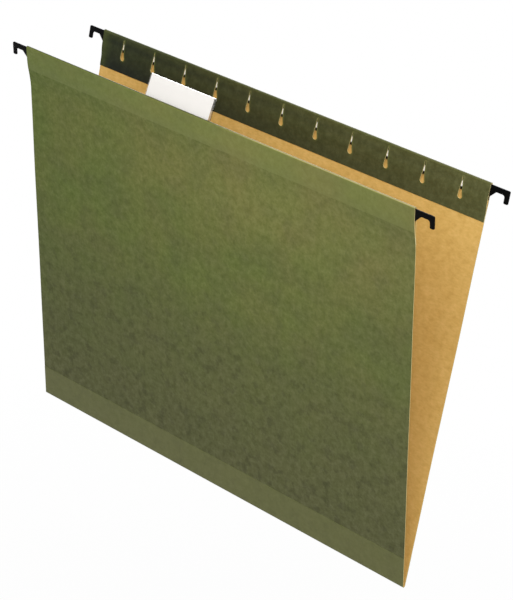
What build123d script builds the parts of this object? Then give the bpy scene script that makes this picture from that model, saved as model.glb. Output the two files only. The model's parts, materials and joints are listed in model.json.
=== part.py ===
# Hanging file folder: two board panels joined by a rounded bottom fold. Each panel's top edge is folded
# over a flat steel bar with coated hook ends, and a clear label tab stands in the front flap's slots.
# Millimetres. The origin is midway between the four hook seats, +X runs along the bars, +Y to the rear
# panel and +Z up. A panel is drawn by u, up along it from the fold's axis, and v, outward from that axis.
import os
from math import cos, radians, sin

from build123d import *

# Folder body
body_width = 298.45  # along the bars
panel_height = 235.0  # fold's axis to the top edge, along the panel
opening_angle = 15.0  # between the panels at rest, in degrees
ply_thickness = 0.14  # green outer ply and tan inner ply, each
fold_radius = 0.6  # inside the bottom fold
film_thickness = 0.08  # reinforcing strips
top_strip_height = 14.5
bottom_strip_height = 18.5
strip_lap = 0.5  # top strip's reach down the flap side

# Flap
flap_depth = 22.0  # below the top edge
flap_slack = 0.4  # straight run of flap below the bar
glue_height = 4.0
glue_thickness = 0.1
glue_margin = 0.3  # above the flap's lower edge
sleeve_clearance = 0.05  # between a coated hook and the board around it

# Teardrop slots in the flap
slot_count = 11
slot_margin = 18.225  # side edge to the first slot's middle
slot_top = 2.2  # below the top edge
slot_length = 12.4
slot_width = 3.2  # at the round lower end
slot_neck = 0.6  # at the upper end

# Bar and hooks, measured outward from the panel's side edge and down from the coated top
bar_thickness = 0.7
coat_thickness = 0.12
coat_lap = 6.0  # coated length inside the fold
hook_reach = 12.7
hook_height = 7.5
neck_height = 3.1  # above the rail seat
seat_offset = 6.35  # rail's middle
seat_width = 4.0
seat_corner = 1.45  # radius between the seat and the tip
shoulder_top = 4.0  # where the notch's slope meets its flat
shoulder_foot = -0.6  # where it ends, inside the fold
tip_corner = 0.8

# Label tab, in the slots on both sides of the one it covers
tab_slot = 4  # covered slot, counted from 0 at the left
tab_width = 50.8
crease_drop = 2.6  # crease below the front panel's top edge
tab_height = 14.6  # crease to top
tab_lean = 26.0  # back from the front panel, in degrees
tab_sheet = 0.3
tab_clearance = 0.05
tab_neck = 1.0  # single sheet above the crease
tab_weld = 0.6  # joined leaves below the label
crease_radius = 0.25
base_height = 12.0  # crease to the strip's lower edge
ear_height = 4.0
ear_drop = 1.0  # ear's lower edge above the slot's lower end
ear_reach = 3.0
ear_clearance = 0.1
web_width = 1.0
label_thickness = 0.2
label_clearance = 0.1
label_left = 0.3  # clear plastic past the label's sides
label_right = 1.5

# Directions of a half: 1 is the rear, -1 the front
rear, front = 1, -1
half_angle = radians(opening_angle / 2)
rise, lean = cos(half_angle), sin(half_angle)

# Depths through a panel, as v
board = 2 * ply_thickness
panel_inner = fold_radius
panel_outer = panel_inner + board
sleeve_gap = bar_thickness + 2 * (coat_thickness + sleeve_clearance)
bar_middle = panel_inner - sleeve_gap / 2
flap_back = panel_inner - sleeve_gap
flap_face = flap_back - board
glue_back = panel_inner - glue_thickness
glue_face = glue_back - board

# Heights up a panel, as u
top_radius = (panel_outer - flap_face) / 2
top_middle = (panel_outer + flap_face) / 2
bar_top = panel_height - top_radius
seat_level = bar_top - neck_height
flap_bottom = panel_height - flap_depth
glue_bottom = flap_bottom + glue_margin
glue_top = glue_bottom + glue_height
flap_turn = bar_top - hook_height - flap_slack
slot_high = panel_height - slot_top - slot_neck / 2
slot_low = panel_height - slot_top - slot_length + slot_width / 2
strip_low = panel_height - top_strip_height
lap_low = bar_top - strip_lap

# Places across the folder
side_edge = body_width / 2
slot_pitch = (body_width - 2 * slot_margin) / (slot_count - 1)
slot_places = [slot_margin - side_edge + slot_pitch * i for i in range(slot_count)]
tab_middle = slot_places[tab_slot]
crease_level = panel_height - crease_drop

# Fold's axis, set so that the hook seats lie at z = 0
fold_axis = (0, 0, bar_middle * lean - seat_level * rise)


def across(side):
    """Plane square to the bars: v to the right and u up."""
    return Plane(origin=fold_axis, x_dir=(0, side * rise, -lean), z_dir=(side, 0, 0))


def along(side, v):
    """Plane of a panel at depth v, facing into the folder: places across to the right and u up."""
    facing = Plane(origin=fold_axis, x_dir=(side, 0, 0), z_dir=(0, -side * rise, lean))
    return facing.offset(-v)


def draw_sheet(start, stop):
    """Section of a layer of the board, between two depths below its green face."""
    with BuildLine() as section:
        for depth in (start, stop):
            outer, inner = panel_outer - depth, flap_face + depth
            Line((outer, 0), (outer, bar_top))
            CenterArc((top_middle, bar_top), top_radius - depth, 0, 180)
            Polyline(
                (inner, bar_top),
                (inner, flap_turn),
                (glue_face + depth, glue_top),
                (glue_face + depth, flap_bottom),
            )
        Line((panel_outer - start, 0), (panel_outer - stop, 0))
        Line((glue_face + start, flap_bottom), (glue_face + stop, flap_bottom))
    make_face(section.edges())


def draw_bar():
    """Outline of a coated bar with a hook at each end."""
    tip_side = side_edge + seat_offset + seat_width / 2 + seat_corner
    low = bar_top - hook_height
    with BuildLine() as half_bar:
        Polyline(
            (0, bar_top),
            (side_edge + hook_reach, bar_top),
            (side_edge + hook_reach, low),
            (tip_side, low),
            (tip_side, seat_level),
            (side_edge + shoulder_top, seat_level),
            (side_edge + shoulder_foot, low),
            (0, low),
            close=True,
        )
    outline = make_face(half_bar.edges())
    columns = outline.vertices().group_by(Axis.X)
    fillet(columns[-1] + columns[-2].sort_by(Axis.Y)[:1], tip_corner)
    fillet(columns[-2].sort_by(Axis.Y)[-1:], seat_corner)
    mirror(about=Plane.YZ)


def save(piece, name):
    piece.part.label = name
    export_step(piece.part, "parts/" + name + ".step")


os.makedirs("parts", exist_ok=True)

# One slot: a round lower end tapering to a narrow top
with BuildSketch() as teardrop:
    with Locations((0, slot_low)):
        Circle(slot_width / 2)
    with Locations((0, slot_high)):
        Circle(slot_neck / 2)
    make_hull()

for half, side in (("rear", rear), ("front", front)):
    # Two plies of board, folded over the bar and slotted
    for ply, start in (("cover_sheet", 0), ("liner", ply_thickness)):
        with BuildPart() as sheet:
            with BuildSketch(across(side)):
                draw_sheet(start, start + ply_thickness)
            extrude(amount=side_edge, both=True)
            with BuildSketch(along(side, panel_inner - glue_thickness / 2)):
                with Locations([(place, 0) for place in slot_places]):
                    add(teardrop.sketch)
            extrude(amount=sleeve_gap + board, mode=Mode.SUBTRACT)
        save(sheet, half + "_" + ply)

    # Reinforcing film over the top edge
    with BuildPart() as top_strip:
        with BuildSketch(across(side)):
            for face in (0, film_thickness):
                with BuildLine():
                    Line((panel_outer + face, strip_low), (panel_outer + face, bar_top))
                    CenterArc((top_middle, bar_top), top_radius + face, 0, 180)
                    Line((flap_face - face, bar_top), (flap_face - face, lap_low))
            with BuildLine():
                Line((panel_outer, strip_low), (panel_outer + film_thickness, strip_low))
                Line((flap_face, lap_low), (flap_face - film_thickness, lap_low))
            make_face()
        extrude(amount=side_edge, both=True)
    save(top_strip, half + "_top_strip")

    # Reinforcing film along the bottom edge
    with BuildPart() as bottom_strip:
        with BuildSketch(across(side)):
            with Locations((panel_outer, 0)):
                Rectangle(film_thickness, bottom_strip_height, align=(Align.MIN, Align.MIN))
        extrude(amount=side_edge, both=True)
    save(bottom_strip, half + "_bottom_strip")

    # Glue line that closes the flap below the slots
    with BuildPart() as flap_glue:
        with BuildSketch(across(side)):
            with Locations((glue_back, glue_bottom)):
                Rectangle(glue_thickness, glue_height, align=(Align.MIN, Align.MIN))
        extrude(amount=side_edge, both=True)
    save(flap_glue, half + "_flap_glue")

    # Steel bar, the coated outline less its coat
    with BuildPart() as bar:
        with BuildSketch(along(side, bar_middle)):
            draw_bar()
            offset(amount=-coat_thickness, mode=Mode.REPLACE)
        extrude(amount=bar_thickness / 2, both=True)
    save(bar, half + "_bar")

    # Coated hook on each end of the bar
    for hand, end in (("left", -1), ("right", 1)):
        with BuildPart() as hook:
            with BuildSketch(along(side, bar_middle)):
                draw_bar()
                with Locations((side * end * (side_edge - coat_lap), bar_top)):
                    Rectangle(
                        hook_reach + coat_lap,
                        hook_height,
                        align=(Align.MIN if side * end > 0 else Align.MAX, Align.MAX),
                        mode=Mode.INTERSECT,
                    )
            extrude(amount=bar_thickness / 2 + coat_thickness, both=True)
            add(bar.part, mode=Mode.SUBTRACT)
        save(hook, half + "_" + hand + "_hook")

# Rounded crease that joins the two panels
with BuildPart() as bottom_fold:
    with BuildSketch(Plane(origin=fold_axis, x_dir=(0, 1, 0), z_dir=(1, 0, 0))):
        turn = 180 - opening_angle
        ends = []
        for radius in (fold_radius, panel_outer + film_thickness):
            with BuildLine():
                ends.append(CenterArc((0, 0), radius, -opening_angle / 2, -turn))
        with BuildLine():
            Line(ends[0] @ 0, ends[1] @ 0)
            Line(ends[0] @ 1, ends[1] @ 1)
        make_face()
    extrude(amount=side_edge, both=True)
save(bottom_fold, "bottom_fold")

# Tab's strip against the front flap, with an ear through the slot on each side
strip_face = flap_face - film_thickness - tab_clearance
ear_face = panel_inner - ear_clearance
ear_middle = panel_height - slot_top - slot_length + ear_drop + ear_height / 2
ear_places = [slot_places[tab_slot - 1], slot_places[tab_slot + 1]]
with BuildPart() as tab_base:
    with BuildSketch(along(front, strip_face)):
        with Locations((front * tab_middle, crease_level - crease_radius - tab_clearance)):
            Rectangle(
                2 * slot_pitch + web_width,
                base_height - crease_radius - tab_clearance,
                align=(Align.CENTER, Align.MAX),
            )
    extrude(amount=tab_sheet)
    with BuildSketch(along(front, ear_face)):
        with Locations([(front * place, ear_middle) for place in ear_places]):
            Rectangle(web_width, ear_height)
    extrude(amount=ear_face - strip_face)
    with BuildSketch(along(front, ear_face)):
        for place in ear_places:
            outward = front if place > tab_middle else -front
            with Locations((front * place - outward * web_width / 2, ear_middle)):
                Rectangle(
                    web_width + ear_reach,
                    ear_height,
                    align=(Align.MIN if outward > 0 else Align.MAX, Align.CENTER),
                )
    extrude(amount=tab_sheet)
save(tab_base, "tab_base")

# Section of the tab's folded pocket, square to the bars, with the crease at its origin
crease_depth = strip_face - tab_sheet / 2
crease = along(front, crease_depth).from_local_coords((front * tab_middle, crease_level, 0))
tab_turn = radians(tab_lean) - half_angle
tab_section = Plane(origin=crease, x_dir=(0, cos(tab_turn), -sin(tab_turn)), z_dir=(1, 0, 0))
pocket_gap = label_thickness + 2 * label_clearance
pocket_low = tab_neck + tab_weld
pocket_depth = pocket_gap + 2 * tab_sheet
pocket_top = tab_height - pocket_depth / 2
pocket_back = (pocket_depth - tab_sheet) / 2  # front leaf in line with the neck
from_foot = (Align.CENTER, Align.MIN)

# Clear pocket: a crease bead, a neck and two leaves joined at the top fold
with BuildPart() as tab_window:
    with BuildSketch(tab_section):
        Circle(crease_radius)
        Rectangle(tab_sheet, pocket_low, align=from_foot)
        with Locations((pocket_back, tab_neck)):
            Rectangle(pocket_depth, pocket_top - tab_neck, align=from_foot)
        with Locations((pocket_back, pocket_top)):
            Circle(pocket_depth / 2)
            Circle(pocket_gap / 2, mode=Mode.SUBTRACT)
        with Locations((pocket_back, pocket_low)):
            Rectangle(pocket_gap, pocket_top - pocket_low, align=from_foot, mode=Mode.SUBTRACT)
    extrude(amount=tab_width / 2, both=True)
save(tab_window, "tab_window")

# Paper label between the leaves
with BuildPart() as tab_label:
    with BuildSketch(tab_section.offset((label_left - label_right) / 2)):
        with Locations((pocket_back, pocket_low + label_clearance)):
            Rectangle(label_thickness, pocket_top - pocket_low - label_clearance, align=from_foot)
    extrude(amount=(tab_width - label_left - label_right) / 2, both=True)
save(tab_label, "tab_label")

print("fold axis z", round(fold_axis[2], 4), "slot pitch", round(slot_pitch, 4))
print("tab crease", [round(c, 4) for c in crease])
print("tab lean from vertical", round(tab_lean - opening_angle / 2, 3))
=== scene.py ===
# Looks of a hanging file folder: board folded round steel bars, film strips, hooks and a label tab
import json
from math import cos, exp, hypot, pi, radians, sin, sqrt

import bmesh
import bpy
from mathutils import Matrix, Vector


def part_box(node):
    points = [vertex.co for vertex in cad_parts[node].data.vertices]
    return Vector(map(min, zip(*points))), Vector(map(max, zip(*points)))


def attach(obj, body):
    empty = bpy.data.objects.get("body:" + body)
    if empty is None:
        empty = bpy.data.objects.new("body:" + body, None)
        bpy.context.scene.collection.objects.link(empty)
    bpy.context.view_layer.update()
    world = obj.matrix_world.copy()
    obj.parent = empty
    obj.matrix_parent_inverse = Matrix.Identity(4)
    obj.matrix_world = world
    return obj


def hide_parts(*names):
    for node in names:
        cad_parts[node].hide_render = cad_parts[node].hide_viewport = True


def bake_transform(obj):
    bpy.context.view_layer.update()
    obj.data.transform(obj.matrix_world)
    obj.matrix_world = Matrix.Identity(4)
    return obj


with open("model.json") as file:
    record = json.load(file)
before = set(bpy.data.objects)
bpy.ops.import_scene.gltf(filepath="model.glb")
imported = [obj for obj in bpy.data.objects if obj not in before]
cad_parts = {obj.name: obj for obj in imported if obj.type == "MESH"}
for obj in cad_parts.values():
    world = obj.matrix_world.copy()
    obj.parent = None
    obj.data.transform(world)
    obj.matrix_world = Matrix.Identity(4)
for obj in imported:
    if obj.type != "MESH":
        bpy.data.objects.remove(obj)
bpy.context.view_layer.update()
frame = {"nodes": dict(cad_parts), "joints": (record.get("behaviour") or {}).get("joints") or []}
scene = bpy.context.scene
scene.view_settings.view_transform = "Standard"
mm = 0.001
joints = {joint["name"]: joint for joint in frame["joints"]}
foldAxis = Vector(joints["fold"]["pos_m"])
rear, front = 1, -1
halfNames = {rear: "rear", front: "front"}
print("frame loaded with", len(frame["nodes"]), "nodes")


# Small helpers
def linear(hexColour):
    channels = [int(hexColour[i:i + 2], 16) / 255 for i in (1, 3, 5)]
    return tuple(c / 12.92 if c <= 0.04045 else ((c + 0.055) / 1.055) ** 2.4 for c in channels) + (1.0,)


def addNode(tree, kind, inputs=None, **settings):
    node = tree.nodes.new(kind)
    for key, value in settings.items():
        setattr(node, key, value)
    for key, value in (inputs or {}).items():
        if isinstance(value, bpy.types.NodeSocket):
            tree.links.new(value, node.inputs[key])
        else:
            node.inputs[key].default_value = value
    return node


def smooth(share):
    share = min(1.0, max(0.0, share))
    return share * share * (3 - 2 * share)


def between(value, table):
    # straight line through the table's (place, amount) pairs
    for (lowPlace, low), (highPlace, high) in zip(table, table[1:]):
        if value <= highPlace:
            return low + (high - low) * max(0.0, value - lowPlace) / (highPlace - lowPlace)
    return table[-1][1]


def steps(start, stop, count):
    return [start + (stop - start) * i / count for i in range(count + 1)]


def addObject(name, data):
    piece = bpy.data.objects.new(name, data)
    scene.collection.objects.link(piece)
    return piece


def smoothShade(mesh, angle):
    mesh.shade_smooth()
    mesh.set_sharp_from_angle(angle=radians(angle))


# Materials
def newMaterial(name):
    material = bpy.data.materials.new(name)
    material.use_nodes = True
    material.node_tree.nodes.clear()
    return material, material.node_tree


def noiseAt(place, size, detail=2.0, roughness=0.5):
    # inputs of a noise whose blots are about size millimetres across
    return {"Vector": place, "Scale": 1 / (size * mm), "Detail": detail, "Roughness": roughness}


greenFinish = {
    "noises": {  # millimetres across, detail and roughness
        "clouds": (34.0, 1.0, 0.5),
        "tints": (22.0, 2.0, 0.5),
        "scuffs": (8.0, 4.0, 0.65),
        "blots": (4.2, 3.0, 0.62),
        "fibres": (1.6, 2.0, 0.5),
    },
    "mixedIn": (("clouds", 0.1), ("fibres", 0.3)),  # shares of the mottle beside its blots
    "mottleReach": 0.16,  # from the middle of the mottle to its darkest and palest tone
    "driftLimits": (0.35, 0.65),
    # greener and browner dye, as shares of a tone
    "drift": ((0.965, 1.01, 0.985, 1), (1.035, 0.99, 1.015, 1)),
    "patchWear": (-0.16, 0.17),
    "scuffLimits": (0.52, 0.63),
    "scuffed": "#2E2E1C",
    "scuffsUnworn": 0.35,  # share of the scuffs that unworn board has
    "paintedCrestHighlight": "#C4B67A",  # painted highlight along the crest of the front fold, right of the middle
    "flapLeft": ("#080E0B", "#0D1310", "#141A14"),  # the flap is darker board, and darker still towards its left end as painted shade
    "flapRight": ("#434325", "#4E4F2F", "#5A5B3A"),
    "spans": {  # millimetres from the middle where a change starts and ends, and its most
        "sheet": (-150.0, 20.0, 1.0),  # left tones pass into right ones; the film's brighter right is painted sheen
        "flap": (-150.0, 150.0, 1.0),
        "end": (60.0, 150.0, 0.25),  # a little darker and browner towards the right end
        "crestGlint": (5.0, 40.0, 1.0),
    },
    "sheenLimits": (0.3, 0.7),
    "sheenSwing": 0.06,
    "bumpHeight": 0.05,
    "bumpStrength": 0.5,
    "ior": 1.5,
}
sheetFinishes = {
    "dyedPressboard": {
        "left": ("#515C2A", "#5C6633", "#67703D"),  # pressed dark, common and loose pale fibre
        "right": ("#646733", "#6F713D", "#7A7B47"),
        "wornAndShaded": ("#48482D", "#525237", "#5C5C41"),  # browner tint towards the fold, darker there as painted shade
        "cutEdge": "#A9A676",
        "contrast": 1.0,
        "scuffDepth": 0.3,
        "roughness": 0.62,
        "gloss": 0.12,
    },
    "filmOnPressboard": {
        "left": ("#5B642B", "#636C33", "#6B743B"),
        # brighter towards the right: painted sheen
        "right": ("#6A6D34", "#72753C", "#7A7D44"),
        "wornAndShaded": ("#575832", "#5C5D37", "#61623C"),
        "cutEdge": "#6A723A",
        "contrast": 0.8,
        "scuffDepth": 0.1,
        "roughness": 0.36,
        "gloss": 0.15,
    },
}


def greenTree(name):
    # dyed pressboard: cloudy olive mottle from clumped fibre, dull sheen, paler at cut edges;
    # under its clear film it is paler, smoother and a little shiny
    finish = greenFinish | sheetFinishes[name]
    material, tree = newMaterial(name)
    place = addNode(tree, "ShaderNodeAttribute", attribute_name="sheetPlace").outputs["Vector"]
    noises = {}
    for layer, looks in finish["noises"].items():
        noises[layer] = addNode(tree, "ShaderNodeTexNoise", noiseAt(place, *looks)).outputs["Fac"]
    marks = {}
    for mark in ("wear", "fade", "flapShade", "crest", "cutEdge"):
        marks[mark] = addNode(tree, "ShaderNodeAttribute", attribute_name=mark).outputs["Fac"]
    parts = addNode(tree, "ShaderNodeSeparateXYZ", {"Vector": place})
    along = {}
    for span, (start, end, most) in finish["spans"].items():
        limits = {"Value": parts.outputs["X"], "From Min": start * mm, "From Max": end * mm, "To Max": most}
        along[span] = addNode(tree, "ShaderNodeMapRange", limits).outputs["Result"]

    # one mottle picks a tone in every set of three
    mottle = noises["blots"]
    for layer, share in finish["mixedIn"]:
        added = {"Factor": share, 2: mottle, 3: noises[layer]}
        mottle = addNode(tree, "ShaderNodeMix", added, data_type="FLOAT").outputs[0]
    reach = finish["mottleReach"] / finish["contrast"]
    limits = {"Value": mottle, "From Min": 0.5 - reach, "From Max": 0.5 + reach}
    picked = addNode(tree, "ShaderNodeMapRange", limits).outputs["Result"]
    tones = {}
    for key in ("left", "right", "wornAndShaded", "flapLeft", "flapRight"):
        ramp = addNode(tree, "ShaderNodeValToRGB", {"Fac": picked})
        elements = ramp.color_ramp.elements
        elements.new(0.5)
        for element, tone in zip(elements, finish[key]):
            element.color = linear(tone)
        tones[key] = ramp.outputs["Color"]

    # tint drifts in patches, and is browner, darker as painted shade, and more even towards the fold
    low, high = finish["driftLimits"]
    least, most = finish["patchWear"]
    limits = {"Value": noises["tints"], "From Min": low, "From Max": high, "To Min": least, "To Max": most}
    patch = addNode(tree, "ShaderNodeMapRange", limits).outputs["Result"]
    unwornUnshaded = addNode(tree, "ShaderNodeMath", {0: 1.0, 1: marks["wear"]}, operation="SUBTRACT").outputs[0]
    uneven = {0: patch, 1: unwornUnshaded, 2: marks["wear"]}
    wornAndShaded = addNode(tree, "ShaderNodeMath", uneven, operation="MULTIPLY_ADD", use_clamp=True)
    limits = {"Value": noises["clouds"], "From Min": low, "From Max": high}
    dye = addNode(tree, "ShaderNodeMapRange", limits).outputs["Result"]
    greener, browner = finish["drift"]
    drift = addNode(tree, "ShaderNodeMix", {"Factor": dye, 6: greener, 7: browner}, data_type="RGBA")

    # scuffs are dark flecks, faint away from the fold
    depth = finish["scuffDepth"]
    depths = {0: marks["wear"], 1: depth, 2: depth * finish["scuffsUnworn"]}
    deepest = addNode(tree, "ShaderNodeMath", depths, operation="MULTIPLY_ADD").outputs[0]
    low, high = finish["scuffLimits"]
    limits = {"Value": noises["scuffs"], "From Min": low, "From Max": high, "To Max": deepest}
    scuffed = addNode(tree, "ShaderNodeMapRange", limits)

    across = addNode(tree, "ShaderNodeMath", {0: marks["fade"], 1: along["sheet"]}, operation="MULTIPLY")
    # painted highlight on the crest of the fold, stronger right of the middle
    paintedCrestHighlight = addNode(tree, "ShaderNodeMath", {0: marks["crest"], 1: along["crestGlint"]}, operation="MULTIPLY")
    # flap tones: darker board, with painted shade darkest at its left
    flapTones = {"Factor": along["flap"], 6: tones["flapLeft"], 7: tones["flapRight"]}
    flapTone = addNode(tree, "ShaderNodeMix", flapTones, data_type="RGBA")
    colour = tones["left"]
    # layers: right tones, painted sheen on the film; browner, darker tones towards the fold, partly painted
    # shade, and the right end; drift; scuffs; the flap; painted crest highlight; pale cut edges
    layers = (
        (across.outputs[0], tones["right"], "MIX"),
        (wornAndShaded.outputs[0], tones["wornAndShaded"], "MIX"),
        (along["end"], tones["wornAndShaded"], "MIX"),
        (unwornUnshaded, drift.outputs[2], "MULTIPLY"),
        (scuffed.outputs["Result"], linear(finish["scuffed"]), "MIX"),
        (marks["flapShade"], flapTone.outputs[2], "MIX"),
        (paintedCrestHighlight.outputs[0], linear(finish["paintedCrestHighlight"]), "MIX"),
        (marks["cutEdge"], linear(finish["cutEdge"]), "MIX"),
    )
    for share, tone, kind in layers:
        laid = {"Factor": share, 6: colour, 7: tone}
        colour = addNode(tree, "ShaderNodeMix", laid, data_type="RGBA", blend_type=kind).outputs[2]

    low, high = finish["sheenLimits"]
    dull, shiny = finish["roughness"] + finish["sheenSwing"], finish["roughness"] - finish["sheenSwing"]
    limits = {"Value": mottle, "From Min": low, "From Max": high, "To Min": dull, "To Max": shiny}
    sheen = addNode(tree, "ShaderNodeMapRange", limits)
    relief = {"Height": mottle, "Distance": finish["bumpHeight"] * mm, "Strength": finish["bumpStrength"]}
    bump = addNode(tree, "ShaderNodeBump", relief)
    shader = addNode(
        tree,
        "ShaderNodeBsdfPrincipled",
        {
            "Base Color": colour,
            "Roughness": sheen.outputs["Result"],
            "Specular IOR Level": finish["gloss"],
            "IOR": finish["ior"],
            "Normal": bump.outputs["Normal"],
        },
    )
    addNode(tree, "ShaderNodeOutputMaterial", {"Surface": shader.outputs[0]})
    return material


greenBoard = greenTree("dyedPressboard")
stripFilm = greenTree("filmOnPressboard")

kraftFinish = {
    "tones": ("#C19B52", "#CCA65D", "#D6B069"),
    "tonePlaces": (0.36, 0.5, 0.64),
    "cutEdge": "#DCC489",
    # painted shadow on the liner under the bar's lower edge, seen through the slots
    "slotShadowTone": "#2E2312",
    "noises": {  # millimetres across, detail and roughness
        "clouds": (42.0, 2.0, 0.5),
        "blots": (5.0, 3.0, 0.6),
        "fibres": (1.1, 3.0, 0.6),
    },
    "fibreStretch": 1.1 / 2.6,  # a fibre's width over its length along the machine direction
    "mixedIn": (("clouds", 0.3), ("fibres", 0.35)),
    "bumpHeight": 0.04,
    "bumpStrength": 0.4,
    "looks": {"Roughness": 0.78, "Specular IOR Level": 0.15, "IOR": 1.5},
}


def kraftTree():
    # unbleached kraft paper: golden tan, faint long fibres, blots and soft clouds of pulp, no shine
    material, tree = newMaterial("kraftPaper")
    place = addNode(tree, "ShaderNodeAttribute", attribute_name="sheetPlace").outputs["Vector"]
    drawnOut = {"Vector": place, "Scale": (kraftFinish["fibreStretch"], 1, 1)}
    stretched = addNode(tree, "ShaderNodeMapping", drawnOut).outputs["Vector"]
    noises = {}
    for layer, looks in kraftFinish["noises"].items():
        spot = stretched if layer == "fibres" else place
        noises[layer] = addNode(tree, "ShaderNodeTexNoise", noiseAt(spot, *looks)).outputs["Fac"]
    mottle = noises["blots"]
    for layer, share in kraftFinish["mixedIn"]:
        added = {"Factor": share, 2: mottle, 3: noises[layer]}
        mottle = addNode(tree, "ShaderNodeMix", added, data_type="FLOAT").outputs[0]
    ramp = addNode(tree, "ShaderNodeValToRGB", {"Fac": mottle})
    elements = ramp.color_ramp.elements
    elements.new(0.5)
    for element, position, tone in zip(elements, kraftFinish["tonePlaces"], kraftFinish["tones"]):
        element.position = position
        element.color = linear(tone)
    colour = ramp.outputs["Color"]
    # a painted shadow line under the bar, then pale cut edges
    for mark, tone in (("barStain", "slotShadowTone"), ("cutEdge", "cutEdge")):
        share = addNode(tree, "ShaderNodeAttribute", attribute_name=mark).outputs["Fac"]
        laid = {"Factor": share, 6: colour, 7: linear(kraftFinish[tone])}
        colour = addNode(tree, "ShaderNodeMix", laid, data_type="RGBA").outputs[2]
    height, strength = kraftFinish["bumpHeight"] * mm, kraftFinish["bumpStrength"]
    bump = addNode(tree, "ShaderNodeBump", {"Height": mottle, "Distance": height, "Strength": strength})
    surface = {"Base Color": colour, "Normal": bump.outputs["Normal"]}
    shader = addNode(tree, "ShaderNodeBsdfPrincipled", surface | kraftFinish["looks"])
    addNode(tree, "ShaderNodeOutputMaterial", {"Surface": shader.outputs[0]})
    return material


kraftPaper = kraftTree()

# Finishes with one fine grain, in millimetres, between two close tones;
# each grain is drawn as coarse as it needs to show
plainFinishes = {
    "blackEnamel": {  # dip-coated: near black, soft highlights on rounded edges, faint orange peel
        "tones": ("#050505", "#0A0A0A"),
        "grain": 0.8,
        "stretch": 1.0,
        "bumpHeight": 0.03,
        "looks": {"Roughness": 0.45, "IOR": 1.5, "Specular IOR Level": 0.03},
    },
    "labelCard": {  # uncoated white card: bright, matt, with faint fibre flecks
        "tones": ("#EEEAE7", "#F6F2EF"),
        "grain": 0.5,
        "stretch": 0.4,
        "bumpHeight": 0.02,
        "looks": {"Roughness": 0.85, "IOR": 1.5, "Specular IOR Level": 0.2},
    },
    "driedGlue": {  # paper glue: cream, a little shiny
        "tones": ("#CDC1A2", "#E0D6BC"),
        "grain": 1.5,
        "stretch": 1.0,
        "bumpHeight": 0.03,
        "looks": {"Roughness": 0.4, "IOR": 1.47},
    },
}
grainStrength = 0.5


def plainTree(name):
    finish = plainFinishes[name]
    material, tree = newMaterial(name)
    place = addNode(tree, "ShaderNodeTexCoord").outputs["Object"]
    drawnOut = {"Vector": place, "Scale": (finish["stretch"], 1, 1)}
    stretched = addNode(tree, "ShaderNodeMapping", drawnOut).outputs["Vector"]
    noise = addNode(tree, "ShaderNodeTexNoise", noiseAt(stretched, finish["grain"])).outputs["Fac"]
    dark, pale = (linear(tone) for tone in finish["tones"])
    colour = addNode(tree, "ShaderNodeMix", {"Factor": noise, 6: dark, 7: pale}, data_type="RGBA")
    relief = {"Height": noise, "Distance": finish["bumpHeight"] * mm, "Strength": grainStrength}
    bump = addNode(tree, "ShaderNodeBump", relief)
    surface = {"Base Color": colour.outputs[2], "Normal": bump.outputs["Normal"]}
    shader = addNode(tree, "ShaderNodeBsdfPrincipled", surface | finish["looks"])
    addNode(tree, "ShaderNodeOutputMaterial", {"Surface": shader.outputs[0]})
    return material


blackEnamel, labelCard, driedGlue = (plainTree(name) for name in plainFinishes)

clearFinish = {
    "tint": "#FAFAF9",
    "smudgeSize": 6.0,  # millimetres
    "smudgeRoughness": (0.03, 0.09),
    "ior": 1.53,
}


def clearTree():
    # rigid clear PVC: clean gloss, a trace of grey at its edges, lets lamps through to the label
    material, tree = newMaterial("clearPlastic")
    place = addNode(tree, "ShaderNodeTexCoord").outputs["Object"]
    smudge = addNode(tree, "ShaderNodeTexNoise", noiseAt(place, clearFinish["smudgeSize"]))
    clean, greasy = clearFinish["smudgeRoughness"]
    limits = {"Value": smudge.outputs["Fac"], "To Min": clean, "To Max": greasy}
    gloss = addNode(tree, "ShaderNodeMapRange", limits)
    tint = linear(clearFinish["tint"])
    plastic = addNode(
        tree,
        "ShaderNodeBsdfPrincipled",
        {
            "Base Color": tint,
            "Roughness": gloss.outputs["Result"],
            "IOR": clearFinish["ior"],
            "Transmission Weight": 1.0,
        },
    )
    passing = addNode(tree, "ShaderNodeBsdfTransparent", {"Color": tint})
    path = addNode(tree, "ShaderNodeLightPath")
    shader = plastic
    for ray in ("Is Shadow Ray", "Is Diffuse Ray"):
        ends = {0: path.outputs[ray], 1: shader.outputs[0], 2: passing.outputs[0]}
        shader = addNode(tree, "ShaderNodeMixShader", ends)
    addNode(tree, "ShaderNodeOutputMaterial", {"Surface": shader.outputs[0]})
    return material


clearPlastic = clearTree()

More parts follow.
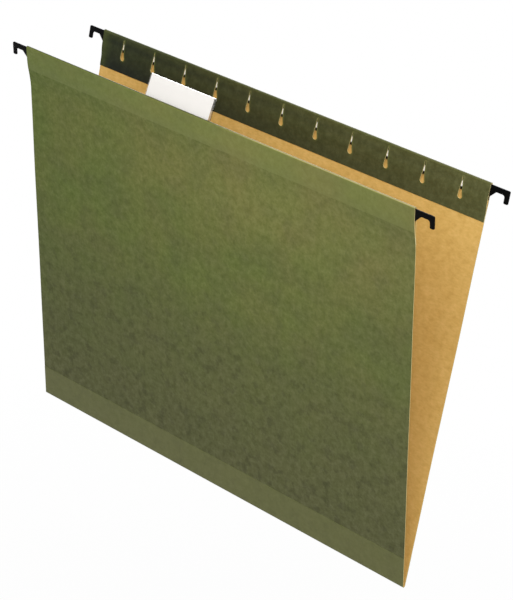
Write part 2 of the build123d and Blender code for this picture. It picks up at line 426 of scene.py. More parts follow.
# Board section: v is measured outward from the fold's axis and u up along a panel, in millimetres
board = {
    "opening": 15.0,  # degrees between the panels
    "ply": 0.14,
    "panelFace": 0.88,  # v of the green face
    "panelTop": 235.0,
    "barTop": 234.2,
    "topRadius": 0.8,
    "flapFace": -0.72,
    "flapTurn": 226.3,
    "glueFace": 0.22,
    "glueTop": 217.3,
    "flapBottom": 213.0,
    "bow": 1.7,  # front panel sags inward below its flap
    "bowEnd": 227.0,
    "bowPeak": 209.0,
    "warpHeight": 0.35,
    "warpSize": 75.0,
    "slackRise": 60.0,  # the warp comes in above the fold and ends below the flap
    "slackFall": (170.0, 205.0),
    # amounts along u: browner and darker near the fold, partly painted shade, right tones show most near
    # the top, and a dark line on the liner is painted shadow under a bar
    "wearAndShadeRows": [(0.0, 0.9), (24.0, 0.8), (100.0, 0.5), (130.0, 0.15), (190.0, 0.0)],
    "rightToneRows": [(130.0, 0.3), (160.0, 0.35), (190.0, 1.0)],
    "barShadowRows": [(224.9, 0.0), (225.5, 1.0), (226.9, 1.0), (227.3, 0.0)],
    # the flap's darkness, by millimetres below the top edge and then along it: darker board, paler near the
    # top edge and darkest at the lower edge, partly painted light and shade
    "flapShades": [
        (0.0, 0.7),
        (3.0, 0.82),
        (4.5, 0.93),
        (9.0, 0.84),
        (14.0, 0.89),
        (19.0, 0.98),
        (22.0, 1.0),
    ],
    "endShades": [(-149.0, 0.7), (-141.0, 0.84), (-134.0, 1.0), (149.0, 1.0)],
    "crestPlace": (62.0, 20.0),  # degrees round the top: middle and spread of the painted crest highlight
    "glintBySide": {rear: 0.15, front: 0.6},
    "pressDepth": 0.12,  # the flap lies closer on its bar away from the coated ends
    "pressSpan": (136.0, 142.0),
    "pressRows": [(225.0, 0.0), (227.0, 1.0), (232.4, 1.0), (233.9, 0.0)],
    "weld": 0.004,  # closes the seams between columns
    "sharpAngle": 40.0,
}
halfAngle = radians(board["opening"] / 2)
rise, lean = cos(halfAngle), sin(halfAngle)
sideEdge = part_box("rear_cover_sheet")[1].x / mm

barFinish = {
    "tones": ("#F0F0EC", "#FEFEFC"),
    "slotShadowTone": "#14130F",  # painted shadow: the dark gaps above and below the bar in its slots
    "grain": 0.3,  # millimetres between rolling lines, coarser than real ones so that they show
    "lineStretch": 0.03,
    # u where the painted shadow on the bar ends and where it starts again
    "unshadedRows": ((227.0, 227.6), (229.9, 230.8)),
    "bumpHeight": 0.01,
    "looks": {"Metallic": 0.15, "Roughness": 0.42},
}


def steelTree():
    # zinc-plated strip steel: bright, with rolling lines along the bar, and painted shadow along its upper
    # and lower edges
    material, tree = newMaterial("platedSteel")
    place = addNode(tree, "ShaderNodeTexCoord").outputs["Object"]
    drawnOut = {"Vector": place, "Scale": (barFinish["lineStretch"], 1, 1)}
    stretched = addNode(tree, "ShaderNodeMapping", drawnOut).outputs["Vector"]
    lines = addNode(tree, "ShaderNodeTexNoise", noiseAt(stretched, barFinish["grain"])).outputs["Fac"]
    dark, pale = (linear(tone) for tone in barFinish["tones"])
    plating = addNode(tree, "ShaderNodeMix", {"Factor": lines, 6: dark, 7: pale}, data_type="RGBA")
    # height up the leaning bar, the same on both halves
    parts = addNode(tree, "ShaderNodeSeparateXYZ", {"Vector": place})
    aside = addNode(tree, "ShaderNodeMath", {0: parts.outputs["Y"]}, operation="ABSOLUTE")
    folded = addNode(tree, "ShaderNodeCombineXYZ", {"Y": aside.outputs[0], "Z": parts.outputs["Z"]})
    panelWay = {0: folded.outputs[0], 1: (0, lean, rise)}
    up = addNode(tree, "ShaderNodeVectorMath", panelWay, operation="DOT_PRODUCT").outputs["Value"]
    # painted shadow on the bar above and below a bright band, as the slots show it
    clean = []
    for rows, ends in zip(barFinish["unshadedRows"], ((0.0, 1.0), (1.0, 0.0))):
        start, stop = (u * mm + foldAxis.z * rise for u in rows)
        span = {"Value": up, "From Min": start, "From Max": stop, "To Min": ends[0], "To Max": ends[1]}
        clean.append(addNode(tree, "ShaderNodeMapRange", span).outputs["Result"])
    unshadedBand = addNode(tree, "ShaderNodeMath", {0: clean[0], 1: clean[1]}, operation="MULTIPLY")
    laid = {"Factor": unshadedBand.outputs[0], 6: linear(barFinish["slotShadowTone"]), 7: plating.outputs[2]}
    colour = addNode(tree, "ShaderNodeMix", laid, data_type="RGBA")
    relief = {"Height": lines, "Distance": barFinish["bumpHeight"] * mm, "Strength": grainStrength}
    bump = addNode(tree, "ShaderNodeBump", relief)
    surface = {"Base Color": colour.outputs[2], "Normal": bump.outputs["Normal"]}
    shader = addNode(tree, "ShaderNodeBsdfPrincipled", surface | barFinish["looks"])
    addNode(tree, "ShaderNodeOutputMaterial", {"Surface": shader.outputs[0]})
    return material


platedSteel = steelTree()
print("materials ready")

# Teardrop slots down a flap, in millimetres
slots = {
    "count": 11,
    "pitch": 26.2,
    "first": -131.0,
    "lowMiddle": 222.0,  # u of the round lower end
    "highMiddle": 232.5,
    "lowRadius": 1.6,
    "highRadius": 0.3,
    "flare": 1.8,  # how late the slit widens into its drop
    "lipHeight": 0.14,  # edge pushed out by the punch, and painted paler there as a highlight
    "lipSpread": 0.5,
    # share of the painted highlight on the lip
    "lipHighlight": 0.75,
    "gaps": (0.0, 0.15, 0.35, 0.65, 1.1, 2.6, 5.4, 9.0, 13.1),  # columns beside the slot's edge
    "marginSteps": 2,  # columns of the plain board beside the first and the last slot
}
slotRun = slots["highMiddle"] - slots["lowMiddle"]


def slotHalfWidth(up):
    # half the opening, at a height above the lower end's middle
    low, high = slots["lowRadius"], slots["highRadius"]
    if up <= -low or up >= slotRun + high:
        return 0.0
    if up < 0:
        return sqrt(low ** 2 - up ** 2)
    if up > slotRun:
        return sqrt(high ** 2 - (up - slotRun) ** 2)
    return high + (low - high) * (1 - up / slotRun) ** slots["flare"]


def slotDistance(across, up):
    # about how far a point lies outside the slot's outline
    if up < 0:
        return hypot(across, up) - slots["lowRadius"]
    if up > slotRun:
        return hypot(across, up - slotRun) - slots["highRadius"]
    return abs(across) - slotHalfWidth(up)


# Where the rows of the section lie, in millimetres of u and in degrees
rowPlan = {
    "flapSteps": 5,
    "slotMargin": 0.6,  # between the flap's plain rows and the slots
    "lowTurns": (0, 15, 32, 50, 70, 90),  # round a slot's lower end
    "slotSteps": 9,
    "highTurns": (30, 60, 90),
    "flapTop": 233.9,
    "crestSteps": 14,
    "flapEnd": 60.0,  # round the top, where the flap's shade ends
    "upperEnd": 206.0,
    "upperSteps": 10,
    "lowerEnd": 18.5,
    "lowerSteps": 27,
    "lastRows": [14.0, 9.5, 5.5, 2.5, 1.0, 0.0],
    "foldSteps": 10,
}


def halfSection(side):
    # rows of the green face, from the flap's lower edge over the bar and down to the middle of the fold
    low, high = slots["lowMiddle"], slots["highMiddle"]
    slotRows = [low - slots["lowRadius"] * cos(radians(turn)) for turn in rowPlan["lowTurns"]]
    slotRows += steps(low, high, rowPlan["slotSteps"])[1:]
    slotRows += [high + slots["highRadius"] * sin(radians(turn)) for turn in rowPlan["highTurns"]]
    slotFoot = low - slots["lowRadius"] - rowPlan["slotMargin"]
    flapRows = steps(board["flapBottom"], slotFoot, rowPlan["flapSteps"])
    flapRows += slotRows + [rowPlan["flapTop"]]
    middle = (board["panelFace"] + board["flapFace"]) / 2
    points = []
    for u in flapRows:
        rising = smooth((u - board["glueTop"]) / (board["flapTurn"] - board["glueTop"]))
        points.append((board["glueFace"] + (board["flapFace"] - board["glueFace"]) * rising, u, True, 0.0))
    crestMiddle, crestSpread = (radians(angle) for angle in board["crestPlace"])
    for turn in steps(pi, 0, rowPlan["crestSteps"]):
        v = middle + board["topRadius"] * cos(turn)
        u = board["barTop"] + board["topRadius"] * sin(turn)
        # share of the painted highlight on the crest, by side
        crestGlint = board["glintBySide"][side] * exp(-(((turn - crestMiddle) / crestSpread) ** 2))
        points.append((v, u, turn > radians(rowPlan["flapEnd"]), crestGlint))
    panelRows = steps(board["barTop"], rowPlan["upperEnd"], rowPlan["upperSteps"])[1:]
    panelRows += steps(rowPlan["upperEnd"], rowPlan["lowerEnd"], rowPlan["lowerSteps"])[1:]
    panelRows += rowPlan["lastRows"] + [u for u, amount in board["barShadowRows"]]
    points += [(board["panelFace"], u, False, 0.0) for u in sorted(panelRows, reverse=True)]
    fallStart, fallEnd = board["slackFall"]
    rows = []
    for v, u, onFlap, crestGlint in points:
        bow = 0.0
        if side == front:
            sag = 1 - smooth((u - board["bowPeak"]) / (board["bowEnd"] - board["bowPeak"]))
            bow = board["bow"] * sag * min(1.0, u / board["bowPeak"])
        down = board["panelTop"] - u
        rows.append({
            "y": side * (u * lean + (v - bow) * rise),
            "z": u * rise - (v - bow) * lean,
            "slot": u - low if onFlap and u < board["barTop"] else None,
            "flap": between(down, board["flapShades"]) if onFlap else 0.0,
            "slack": smooth(u / board["slackRise"]) * (1 - smooth((u - fallStart) / (fallEnd - fallStart))),
            "press": between(u, board["pressRows"]) if onFlap else 0.0,
            "wear": between(u, board["wearAndShadeRows"]),
            "fade": between(u, board["rightToneRows"]),
            "barStain": 0.0 if onFlap else between(u, board["barShadowRows"]),
            "crest": crestGlint,
            "u": u,
            "onFlap": onFlap,
            "side": side,
        })
    for turn in steps(halfAngle, pi / 2, rowPlan["foldSteps"])[1:]:
        rows.append({
            "y": side * board["panelFace"] * cos(turn), "z": -board["panelFace"] * sin(turn),
            "slot": None, "flap": 0.0, "slack": 0.0, "press": 0.0, "crest": 0.0, "barStain": 0.0,
            "wear": board["wearAndShadeRows"][0][1], "fade": board["rightToneRows"][0][1],
            "u": 0.0, "onFlap": False, "side": side,
        })
    return rows


sectionRows = halfSection(rear) + halfSection(front)[-2::-1]
travel = 0.0
for row, last in zip(sectionRows, [sectionRows[0]] + sectionRows):
    travel += hypot(row["y"] - last["y"], row["z"] - last["z"])
    row["s"] = travel

curveData = bpy.data.curves.new("boardSection", "CURVE")
curveData.dimensions = "3D"
spline = curveData.splines.new("POLY")
spline.points.add(len(sectionRows) - 1)
for point, row in zip(spline.points, sectionRows):
    point.co = (0, row["y"] * mm, foldAxis.z + row["z"] * mm, 1)
boardSection = addObject("boardSection", curveData)

rowAmounts = ("slack", "press", "wear", "fade", "crest", "barStain")


def flatGrid(name, columns, rows, place):
    # quads of a flat sheet: x across, y along the section, z above it, and how dark the flap is there
    mesh = bpy.data.meshes.new(name)
    corners = [place(column, row) for row in rows for column in columns]
    wide = len(columns)
    faces = [
        (r * wide + c, r * wide + c + 1, (r + 1) * wide + c + 1, (r + 1) * wide + c)
        for r in range(len(rows) - 1)
        for c in range(wide - 1)
    ]
    mesh.from_pydata([[value * mm for value in corner[:3]] for corner in corners], [], faces)
    amounts = {key: [row[key] for row in rows for column in columns] for key in rowAmounts}
    amounts["flapShade"] = [corner[3] for corner in corners]
    for key, values in amounts.items():
        mesh.attributes.new(key, "FLOAT", "POINT").data.foreach_set("value", values)
    return mesh


def joinMeshes(name, meshes):
    joined = bmesh.new()
    for mesh in meshes:
        joined.from_mesh(mesh)
    result = bpy.data.meshes.new(name)
    joined.to_mesh(result)
    joined.free()
    return result


def beside(column, row):
    # a column of the slotted strip, pushed aside by the slot and raised at its lip, where the flap's tone
    # is painted paler as a highlight
    hand, gap = column
    halfWidth = slotHalfWidth(row["slot"]) if row["slot"] is not None else 0.0
    halfPitch = slots["pitch"] / 2
    across = halfWidth + gap * (halfPitch - halfWidth) / halfPitch
    lip = 0.0
    if row["slot"] is not None:
        reach = max(0.0, slotDistance(across, row["slot"]))
        lip = exp(-((reach / slots["lipSpread"]) ** 2))
    return hand * across, row["s"], slots["lipHeight"] * lip, row["flap"] * (1 - slots["lipHighlight"] * lip)


leftColumns = [(-1, gap) for gap in reversed(slots["gaps"])]
rightColumns = [(1, gap) for gap in slots["gaps"]]
slottedColumn = addObject(
    "slottedColumn",
    joinMeshes(
        "slottedColumn",
        [flatGrid("half", columns, sectionRows, beside) for columns in (leftColumns, rightColumns)],
    ),
)


def plainPlace(column, row):
    return column, row["s"], 0.0, row["flap"] * between(column, board["endShades"])


# One tree folds every sheet: slotted columns side by side, a thickness, then the bend along the section
def foldingTree():
    tree = bpy.data.node_groups.new("foldedSheet", "GeometryNodeTree")
    sockets = (
        ("Geometry", "NodeSocketGeometry"),
        ("Slotted Column", "NodeSocketObject"),
        ("Slot Count", "NodeSocketInt"),
        ("Slot Pitch", "NodeSocketFloat"),
        ("First Slot", "NodeSocketFloat"),
        ("Section", "NodeSocketObject"),
        ("Base Height", "NodeSocketFloat"),
        ("Thickness", "NodeSocketFloat"),
        ("Warp Height", "NodeSocketFloat"),
        ("Warp Size", "NodeSocketFloat"),
        ("Press Depth", "NodeSocketFloat"),
        ("Press Start", "NodeSocketFloat"),
        ("Press End", "NodeSocketFloat"),
        ("Material", "NodeSocketMaterial"),
    )
    for name, kind in sockets:
        tree.interface.new_socket(name, in_out="INPUT", socket_type=kind)
    tree.interface.new_socket("Geometry", in_out="OUTPUT", socket_type="NodeSocketGeometry")
    given = addNode(tree, "NodeGroupInput").outputs

    start = addNode(tree, "ShaderNodeCombineXYZ", {"X": given["First Slot"]})
    pitch = addNode(tree, "ShaderNodeCombineXYZ", {"X": given["Slot Pitch"]})
    line = addNode(
        tree,
        "GeometryNodeMeshLine",
        {"Count": given["Slot Count"], "Start Location": start.outputs[0], "Offset": pitch.outputs[0]},
        mode="OFFSET",
    )
    column = addNode(tree, "GeometryNodeObjectInfo", {"Object": given["Slotted Column"]})
    placed = {"Points": line.outputs[0], "Instance": column.outputs["Geometry"]}
    row = addNode(tree, "GeometryNodeInstanceOnPoints", placed)
    columns = addNode(tree, "GeometryNodeRealizeInstances", {"Geometry": row.outputs[0]})
    flat = addNode(tree, "GeometryNodeJoinGeometry", {"Geometry": columns.outputs[0]})
    tree.links.new(given["Geometry"], flat.inputs["Geometry"])
    weld = board["weld"] * mm
    closed = addNode(tree, "GeometryNodeMergeByDistance", {"Geometry": flat.outputs[0], "Distance": weld})

    # thickness: the sheet is lifted to its lower face, which is kept, and its upper face is drawn out of it
    base = addNode(tree, "ShaderNodeCombineXYZ", {"Z": given["Base Height"]})
    moved = {"Geometry": closed.outputs[0], "Offset": base.outputs[0]}
    lifted = addNode(tree, "GeometryNodeSetPosition", moved)
    drawn = addNode(
        tree,
        "GeometryNodeExtrudeMesh",
        {
            "Mesh": lifted.outputs[0],
            "Offset": (0, 0, 1),
            "Offset Scale": given["Thickness"],
            "Individual": False,
        },
        mode="FACES",
    )
    edged = addNode(
        tree,
        "GeometryNodeStoreNamedAttribute",
        {"Geometry": drawn.outputs["Mesh"], "Name": "cutEdge", "Value": drawn.outputs["Side"]},
        data_type="FLOAT",
        domain="FACE",
    )
    under = addNode(tree, "GeometryNodeFlipFaces", {"Mesh": lifted.outputs[0]})
    slab = addNode(tree, "GeometryNodeJoinGeometry", {"Geometry": under.outputs[0]})
    tree.links.new(edged.outputs[0], slab.inputs["Geometry"])
    whole = addNode(tree, "GeometryNodeMergeByDistance", {"Geometry": slab.outputs[0], "Distance": weld})

    # flat place kept for the paper's pattern, then bent:
    # across stays, along follows the section, and height follows its normal
    place = addNode(tree, "GeometryNodeInputPosition")
    marked = addNode(
        tree,
        "GeometryNodeStoreNamedAttribute",
        {"Geometry": whole.outputs[0], "Name": "sheetPlace", "Value": place.outputs[0]},
        data_type="FLOAT_VECTOR",
        domain="POINT",
    )
    parts = addNode(tree, "ShaderNodeSeparateXYZ", {"Vector": place.outputs[0]})
    section = addNode(tree, "GeometryNodeObjectInfo", {"Object": given["Section"]})
    sample = addNode(
        tree,
        "GeometryNodeSampleCurve",
        {"Curves": section.outputs["Geometry"], "Length": parts.outputs["Y"]},
        mode="LENGTH",
    )
    sides = {0: (1, 0, 0), 1: sample.outputs["Tangent"]}
    outward = addNode(tree, "ShaderNodeVectorMath", sides, operation="CROSS_PRODUCT")
    flatPlace = addNode(tree, "ShaderNodeCombineXYZ", {"X": parts.outputs["X"], "Y": parts.outputs["Y"]})
    waves = addNode(tree, "ShaderNodeMath", {0: 1.0, 1: given["Warp Size"]}, operation="DIVIDE")
    noise = addNode(
        tree,
        "ShaderNodeTexNoise",
        {"Vector": flatPlace.outputs[0], "Scale": waves.outputs[0], "Detail": 0.0},
        noise_dimensions="2D",
    )
    swing = addNode(tree, "ShaderNodeMath", {0: noise.outputs[0], 1: 0.5}, operation="SUBTRACT")
    slack = addNode(tree, "GeometryNodeInputNamedAttribute", {"Name": "slack"}, data_type="FLOAT")
    free = {0: swing.outputs[0], 1: slack.outputs["Attribute"]}
    eased = addNode(tree, "ShaderNodeMath", free, operation="MULTIPLY")
    height = addNode(
        tree,
        "ShaderNodeMath",
        {0: eased.outputs[0], 1: given["Warp Height"], 2: parts.outputs["Z"]},
        operation="MULTIPLY_ADD",
    )
    # the flap lies on its bar, and stands off it over the coated ends
    aside = addNode(tree, "ShaderNodeMath", {0: parts.outputs["X"]}, operation="ABSOLUTE")
    middle = addNode(
        tree,
        "ShaderNodeMapRange",
        {
            "Value": aside.outputs[0],
            "From Min": given["Press Start"],
            "From Max": given["Press End"],
            "To Min": given["Press Depth"],
            "To Max": 0.0,
        },
        interpolation_type="SMOOTHSTEP",
    )
    press = addNode(tree, "GeometryNodeInputNamedAttribute", {"Name": "press"}, data_type="FLOAT")
    depth = {0: middle.outputs[0], 1: press.outputs["Attribute"]}
    pressed = addNode(tree, "ShaderNodeMath", depth, operation="MULTIPLY")
    heights = {0: height.outputs[0], 1: pressed.outputs[0]}
    settled = addNode(tree, "ShaderNodeMath", heights, operation="SUBTRACT")
    lift = {0: outward.outputs[0], "Scale": settled.outputs[0]}
    raised = addNode(tree, "ShaderNodeVectorMath", lift, operation="SCALE")
    across = addNode(tree, "ShaderNodeCombineXYZ", {"X": parts.outputs["X"]})
    spot = sample.outputs["Position"]
    for shift in (across, raised):
        added = {0: spot, 1: shift.outputs[0]}
        spot = addNode(tree, "ShaderNodeVectorMath", added, operation="ADD").outputs[0]
    bent = {"Geometry": marked.outputs[0], "Position": spot}
    folded = addNode(tree, "GeometryNodeSetPosition", bent)
    realized = addNode(tree, "GeometryNodeRealizeInstances", {"Geometry": folded.outputs[0]})
    dressed = {"Geometry": realized.outputs[0], "Material": given["Material"]}
    painted = addNode(tree, "GeometryNodeSetMaterial", dressed)
    addNode(tree, "NodeGroupOutput", {"Geometry": painted.outputs[0]})
    return tree


sheetFolding = foldingTree()


def foldSheet(name, flat, base, thickness, material, slotCount=0):
    # base and thickness in millimetres above the green face
    piece = addObject(name, flat)
    values = {
        "Slotted Column": slottedColumn,
        "Slot Count": slotCount,
        "Slot Pitch": slots["pitch"] * mm,
        "First Slot": slots["first"] * mm,
        "Section": boardSection,
        "Base Height": base * mm,
        "Thickness": thickness * mm,
        "Warp Height": 2 * board["warpHeight"] * mm,
        "Warp Size": board["warpSize"] * mm,
        "Press Depth": board["pressDepth"] * mm,
        "Press Start": board["pressSpan"][0] * mm,
        "Press End": board["pressSpan"][1] * mm,
        "Material": material,
    }
    modifier = piece.modifiers.new("folding", "NODES")
    modifier.node_group = sheetFolding
    for socket in sheetFolding.interface.items_tree:
        if socket.in_out == "INPUT" and socket.name in values:
            modifier[socket.identifier] = values[socket.name]
    evaluated = piece.evaluated_get(bpy.context.evaluated_depsgraph_get())
    piece.data = bpy.data.meshes.new_from_object(evaluated)
    piece.data.name = name
    piece.modifiers.remove(modifier)
    smoothShade(piece.data, board["sharpAngle"])
    print(name, "folded with", len(piece.data.polygons), "faces")
    return piece


def bendAtFold(piece):
    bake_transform(piece)


def sideMargins():
    inner = slots["first"] - slots["pitch"] / 2
    margins = []
    for start, end in ((-sideEdge, inner), (-inner, sideEdge)):
        columns = steps(start, end, slots["marginSteps"])
        margins.append(flatGrid("margin", columns, sectionRows, plainPlace))
    return joinMeshes("margins", margins)


ply = board["ply"]
coverSheet = foldSheet("coverSheet", sideMargins(), -ply, ply, greenBoard, slots["count"])
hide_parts("rear_cover_sheet", "front_cover_sheet", "bottom_fold")
bendAtFold(coverSheet)

kraftLiner = foldSheet("kraftLiner", sideMargins(), -2 * ply, ply, kraftPaper, slots["count"])
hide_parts("rear_liner", "front_liner")
bendAtFold(kraftLiner)

# Film strips outside the folds and the glue line inside the flaps, in millimetres
strips = {
    "film": 0.08,
    "topHeight": 14.5,
    "topLap": 0.5,
    "bottomHeight": 18.5,
    "glue": 0.1,
    "glueBottom": 213.3,
    "columnCount": 44,
}


def rowAt(side, onFlap, u):
    # a row of the section at an exact height, between its two neighbours
    rows = [row for row in sectionRows if row["side"] == side and row["onFlap"] == onFlap]
    rows.sort(key=lambda row: row["u"])
    for low, high in zip(rows, rows[1:]):
        if low["u"] <= u <= high["u"] and low["u"] < high["u"]:
            share = (u - low["u"]) / (high["u"] - low["u"])
            made = dict(low)
            for key in ("s", "flap") + rowAmounts:
                made[key] = low[key] + (high[key] - low[key]) * share
            return made


def stripRows(first, last):
    start, end = sorted((first, last), key=lambda row: row["s"])
    return [start] + [row for row in sectionRows if start["s"] < row["s"] < end["s"]] + [end]


stripColumns = steps(-sideEdge, sideEdge, strips["columnCount"])
for side, half in halfNames.items():
    body = half + "_half"
    topRows = stripRows(
        rowAt(side, False, board["panelTop"] - strips["topHeight"]),
        rowAt(side, True, board["barTop"] - strips["topLap"]),
    )
    flat = flatGrid("strip", stripColumns, topRows, plainPlace)
    topFilm = foldSheet(half + "TopFilm", flat, 0.0, strips["film"], stripFilm)
    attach(topFilm, body)
    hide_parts(half + "_top_strip")

    glueRows = stripRows(rowAt(side, False, strips["glueBottom"]), rowAt(side, False, board["glueTop"]))
    flat = flatGrid("strip", stripColumns, glueRows, plainPlace)
    flapGlue = foldSheet(half + "FlapGlue", flat, -2 * ply - strips["glue"], strips["glue"], driedGlue)
    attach(flapGlue, body)
    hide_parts(half + "_flap_glue")

bottomRows = stripRows(*(rowAt(side, False, strips["bottomHeight"]) for side in halfNames))
flat = flatGrid("strip", stripColumns, bottomRows, plainPlace)
bottomFilm = foldSheet("bottomFilm", flat, 0.0, strips["film"], stripFilm)
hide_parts("rear_bottom_strip", "front_bottom_strip")
bendAtFold(bottomFilm)
for helper in (slottedColumn, boardSection):
    bpy.data.objects.remove(helper)
print("board, films and glue folded")

# Coated hooks, in millimetres outward from the folder's side and down from the coated top
hooks = {
    "middle": 0.08,  # v of the bar
    "top": 234.2,
    "reach": 12.7,
    "height": 7.5,
    "neck": 3.1,
    "seatStart": 4.0,
    "tipStart": 9.8,
    "shoulderFoot": -0.6,
    "lap": 6.0,
    "thickness": 0.94,
    "softEdge": 0.2,
    "tipCorner": 0.8,
    "seatCorner": 1.45,
    "smallCorner": 0.15,
    "arcSteps": 6,
    "edgeSteps": 3,
    "weld": 0.002,
    "sharpAngle": 35.0,  # degrees, past which an edge stays sharp
}


def roundedOutline(corners):
    # corners are (x, y, radius); each is replaced by an arc
    outline = []
    segments = hooks["arcSteps"]
    for i, (x, y, radius) in enumerate(corners):
        here = Vector((x, y))
        back = (Vector(corners[i - 1][:2]) - here).normalized()
        ahead = (Vector(corners[(i + 1) % len(corners)][:2]) - here).normalized()
        half = back.angle(ahead) / 2
        centre = here + (back + ahead).normalized() * radius / sin(half)
        start = here + back * radius * cos(half) / sin(half) - centre
        sweep = start.angle_signed(here + ahead * radius * cos(half) / sin(half) - centre)
        for step in range(segments + 1):
            outline.append(centre + Matrix.Rotation(-sweep * step / segments, 2) @ start)
    return outline


def hookMesh(name):
    low, seat = hooks["top"] - hooks["height"], hooks["top"] - hooks["neck"]
    tip, small = hooks["tipCorner"], hooks["smallCorner"]
    outline = roundedOutline([
        (sideEdge - hooks["lap"], hooks["top"], small),
        (sideEdge + hooks["reach"], hooks["top"], tip),
        (sideEdge + hooks["reach"], low, tip),
        (sideEdge + hooks["tipStart"], low, tip),
        (sideEdge + hooks["tipStart"], seat, hooks["seatCorner"]),
        (sideEdge + hooks["seatStart"], seat, hooks["seatCorner"]),
        (sideEdge + hooks["shoulderFoot"], low, small),
        (sideEdge - hooks["lap"], low, small),
    ])
    data = bpy.data.curves.new(name, "CURVE")
    data.dimensions = "2D"
    data.fill_mode = "BOTH"
    data.extrude = (hooks["thickness"] / 2 - hooks["softEdge"]) * mm
    data.bevel_depth = hooks["softEdge"] * mm
    data.offset = -hooks["softEdge"] * mm
    data.bevel_resolution = hooks["edgeSteps"]
    edge = data.splines.new("POLY")
    edge.points.add(len(outline) - 1)
    edge.use_cyclic_u = True
    for point, place in zip(edge.points, outline):
        point.co = (place.x * mm, place.y * mm, 0, 1)
    flat = addObject(name, data)
    mesh = bpy.data.meshes.new_from_object(flat.evaluated_get(bpy.context.evaluated_depsgraph_get()))
    bpy.data.objects.remove(flat)
    return mesh


def cleanMesh(mesh):
    made = bmesh.new()
    made.from_mesh(mesh)
    bmesh.ops.remove_doubles(made, verts=made.verts, dist=hooks["weld"] * mm)
    bmesh.ops.recalc_face_normals(made, faces=made.faces)
    made.to_mesh(mesh)
    made.free()


for side, half in halfNames.items():
    up = Vector((0, side * lean, rise))
    out = Vector((0, side * rise, -lean))
    across = Vector((1, 0, 0))
    for hand, end in (("left", -1), ("right", 1)):
        mesh = hookMesh("hookOutline")
        axes = Matrix((across * end, up, out)).transposed().to_4x4()
        mesh.transform(Matrix.Translation(foldAxis + out * hooks["middle"] * mm) @ axes)
        cleanMesh(mesh)
        smoothShade(mesh, hooks["sharpAngle"])
        mesh.materials.clear()
        mesh.materials.append(blackEnamel)
        hook = addObject(half + hand.capitalize() + "Hook", mesh)
        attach(hook, half + "_half")
        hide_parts(half + "_" + hand + "_hook")
print("hooks coated")

# CAD pieces whose shape stays
kept = {
    "rear_bar": platedSteel,
    "front_bar": platedSteel,
    "tab_base": clearPlastic,
    "tab_window": clearPlastic,
    "tab_label": labelCard,
}
for node, material in kept.items():
    materials = frame["nodes"][node].data.materials
    materials.clear()
    materials.append(material)
print("bars, tab and label finished")

# Floor, light and camera
studio = {
    "floorSize": 8.0,  # metres, as the places below
    "floorDrop": 265.0,  # millimetres below the fold, clear of the front half when it hangs open
    "floorShade": "#CFCFCD",
    "floorGlow": (0.95, 1.0),  # share of its white that shadows don't take, near the object and far off
    "glowReach": (0.25, 0.7),
    "skyLight": 0.42,
    "lampAim": (0, 0, -0.1),
}


def whenSeen(tree):
    # 1 for what the camera sees, straight or in metal and plastic,
    # and 0 for light that a matt surface gathers
    path = addNode(tree, "ShaderNodeLightPath").outputs
    seen = path["Is Camera Ray"]
    for ray in ("Is Glossy Ray", "Is Transmission Ray"):
        seen = addNode(tree, "ShaderNodeMath", {0: seen, 1: path[ray]}, operation="MAXIMUM").outputs[0]
    direct = addNode(tree, "ShaderNodeMath", {0: path["Diffuse Depth"], 1: 0.5}, operation="LESS_THAN")
    return addNode(tree, "ShaderNodeMath", {0: seen, 1: direct.outputs[0]}, operation="MULTIPLY").outputs[0]


def floorTree():
    # painted pale studio floor, matt
    material, tree = newMaterial("paleFloor")
    paint = addNode(tree, "ShaderNodeBsdfDiffuse", {"Color": linear(studio["floorShade"])})
    glow = addNode(tree, "ShaderNodeEmission", {"Color": (1, 1, 1, 1), "Strength": 1.0})
    place = addNode(tree, "ShaderNodeTexCoord").outputs["Object"]
    away = addNode(tree, "ShaderNodeVectorMath", {0: place, 1: (1, 1, 0)}, operation="MULTIPLY")
    distance = addNode(tree, "ShaderNodeVectorMath", {0: away.outputs[0]}, operation="LENGTH")
    near, far = studio["floorGlow"]
    start, end = studio["glowReach"]
    span = {"From Min": start, "From Max": end, "To Min": near, "To Max": far}
    amount = addNode(tree, "ShaderNodeMapRange", {"Value": distance.outputs["Value"]} | span)
    shown = {0: whenSeen(tree), 1: amount.outputs["Result"]}
    share = addNode(tree, "ShaderNodeMath", shown, operation="MULTIPLY")
    ends = {0: share.outputs[0], 1: paint.outputs[0], 2: glow.outputs[0]}
    shader = addNode(tree, "ShaderNodeMixShader", ends)
    addNode(tree, "ShaderNodeOutputMaterial", {"Surface": shader.outputs[0]})
    return material


reach = studio["floorSize"] / 2
floorMesh = bpy.data.meshes.new("floor")
floorLevel = foldAxis.z - studio["floorDrop"] * mm
corners = [(x * reach, y * reach, floorLevel) for x, y in ((-1, -1), (1, -1), (1, 1), (-1, 1))]
floorMesh.from_pydata(corners, [], [(0, 1, 2, 3)])
floorMesh.materials.append(floorTree())
floor = addObject("floor", floorMesh)

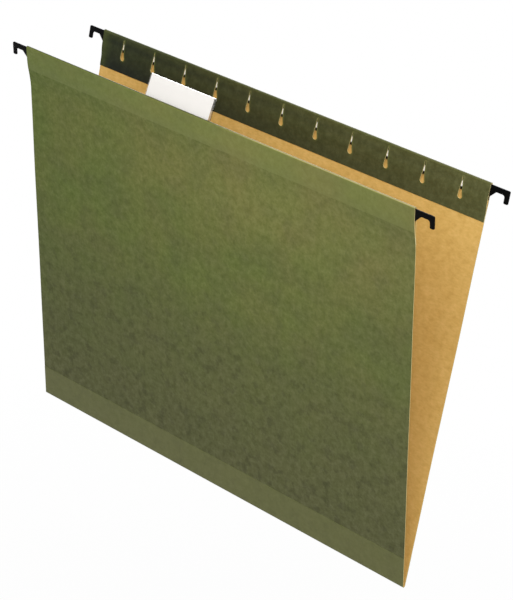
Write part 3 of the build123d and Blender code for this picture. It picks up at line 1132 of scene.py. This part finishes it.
world = bpy.data.worlds.new("studioSky")
world.use_nodes = True
sky = world.node_tree
sky.nodes.clear()
light = addNode(sky, "ShaderNodeBackground", {"Color": (1, 1, 1, 1), "Strength": studio["skyLight"]})
white = addNode(sky, "ShaderNodeBackground", {"Color": (1, 1, 1, 1), "Strength": 1.0})
both = addNode(sky, "ShaderNodeMixShader", {0: whenSeen(sky), 1: light.outputs[0], 2: white.outputs[0]})
addNode(sky, "ShaderNodeOutputWorld", {"Surface": both.outputs[0]})
scene.world = world

lamps = {  # metres and watts
    "keySoftbox": {"place": (1.15, -0.83, 0.85), "size": 0.9, "power": 23.3},
    "fillSoftbox": {"place": (0.1, -0.62, 0.56), "size": 0.5, "power": 2.2},
    "backSoftbox": {"place": (-0.6, 0.8, 0.55), "size": 0.7, "power": 9.0},
}
aim = Vector(studio["lampAim"])
for name, lamp in lamps.items():
    data = bpy.data.lights.new(name, "AREA")
    data.size = lamp["size"]
    data.energy = lamp["power"]
    softbox = addObject(name, data)
    softbox.location = lamp["place"]
    softbox.rotation_euler = (aim - softbox.location).to_track_quat("-Z", "Y").to_euler()

# Camera solved from the folder's corners in a frame 513 pixels wide and 600 high
viewpoint = {
    "focalPixels": 2361.0,
    "framePixels": 600,
    "yaw": 41.903,
    "pitch": 23.822,
    "roll": 5.41,
    "foldMiddle": (-25.2, 107.7, 1397.0),  # right, down and ahead of the lens, in millimetres
}
sensorWidth = 36.0
turnAxes = (("roll", "Z"), ("pitch", "X"), ("yaw", "Y"))
turns = [Matrix.Rotation(radians(viewpoint[key]), 3, axis) for key, axis in turnAxes]
seenFrom = turns[0] @ turns[1] @ turns[2] @ Matrix(((1, 0, 0), (0, 0, -1), (0, 1, 0)))
cameraData = bpy.data.cameras.new("camera")
cameraData.sensor_width = sensorWidth
cameraData.lens = viewpoint["focalPixels"] * sensorWidth / viewpoint["framePixels"]
camera = addObject("camera", cameraData)
camera.rotation_euler = (seenFrom.transposed() @ Matrix.Diagonal((1, -1, -1))).to_euler()
camera.location = foldAxis - seenFrom.transposed() @ (Vector(viewpoint["foldMiddle"]) * mm)
scene.camera = camera
print("studio and camera set")
